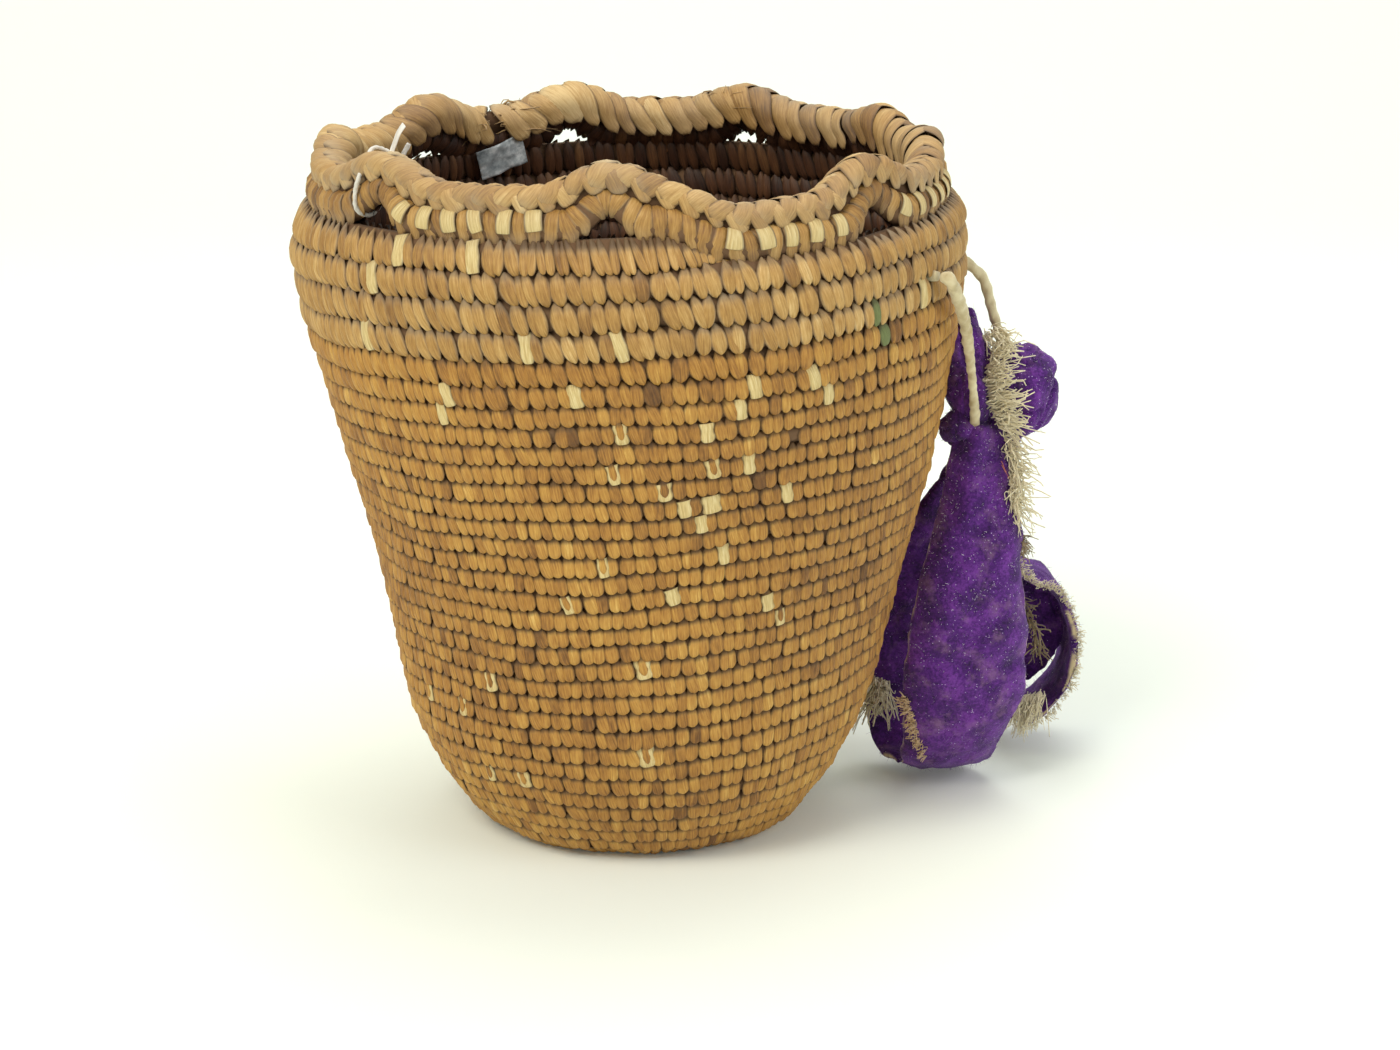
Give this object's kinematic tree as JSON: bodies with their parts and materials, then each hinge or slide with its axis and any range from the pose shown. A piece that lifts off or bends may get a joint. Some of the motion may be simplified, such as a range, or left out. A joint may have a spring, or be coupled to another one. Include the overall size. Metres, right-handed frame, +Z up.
{
  "type": "coiled basket",
  "caption": "Tapered coiled root basket with a looped, braided rim and a folded cloth strap that hangs from a cord laced through its wall.",
  "frame": {"origin": "centre of the base, on the surface that the basket stands on", "axes": "+Z up through the mouth; -Y is the side that faces the viewer; +X is the side that the cloth strap hangs on"},
  "size_m": [0.2805, 0.2298, 0.2511],
  "materials": {
    "split_cedar_root": "dry split root, satin where it is worn",
    "purple_wool_cloth": "felted wool",
    "cotton_cord": "matt cord",
    "grey_tape": "matt tape",
    "white_thread": "matt thread"
  },
  "bodies": {
    "basket": {"base_knot": "split_cedar_root", "base_coil": "split_cedar_root", "wall_band_1": "split_cedar_root", "wall_band_2": "split_cedar_root", "wall_band_3": "split_cedar_root", "wall_band_4": "split_cedar_root", "rim_coil_1": "split_cedar_root", "rim_coil_2": "split_cedar_root", "rim_coil_3": "split_cedar_root", "rim_coil_4": "split_cedar_root", "rim_coil_5": "split_cedar_root", "rim_coil_6": "split_cedar_root", "rim_coil_7": "split_cedar_root", "rim_coil_8": "split_cedar_root", "rim_coil_9": "split_cedar_root", "rim_braid_1": "split_cedar_root", "rim_braid_2": "split_cedar_root", "rim_braid_3": "split_cedar_root", "rim_braid_4": "split_cedar_root", "rim_braid_5": "split_cedar_root", "rim_braid_6": "split_cedar_root", "rim_braid_7": "split_cedar_root", "rim_braid_8": "split_cedar_root", "rim_braid_9": "split_cedar_root", "inner_tape": "grey_tape", "tag_string": "white_thread", "lacing_cord": "cotton_cord"},
    "strap": {"cord_leg_left": "cotton_cord", "cord_leg_right": "cotton_cord", "cloth_knot": "purple_wool_cloth", "cloth_upper_fold": "purple_wool_cloth", "cloth_right_lobe": "purple_wool_cloth", "cloth_front_fall": "purple_wool_cloth", "cloth_rear_fall": "purple_wool_cloth", "cloth_side_curl": "purple_wool_cloth"}
  },
  "joints": [
    {"name": "strap_swing", "type": "hinge", "parent": "basket", "child": "strap", "pos_m": [0.10677, -0.02241, 0.19974], "axis": [-0.1709, -0.9795, 0.1062], "range_deg": [0, 80]}
  ]
}
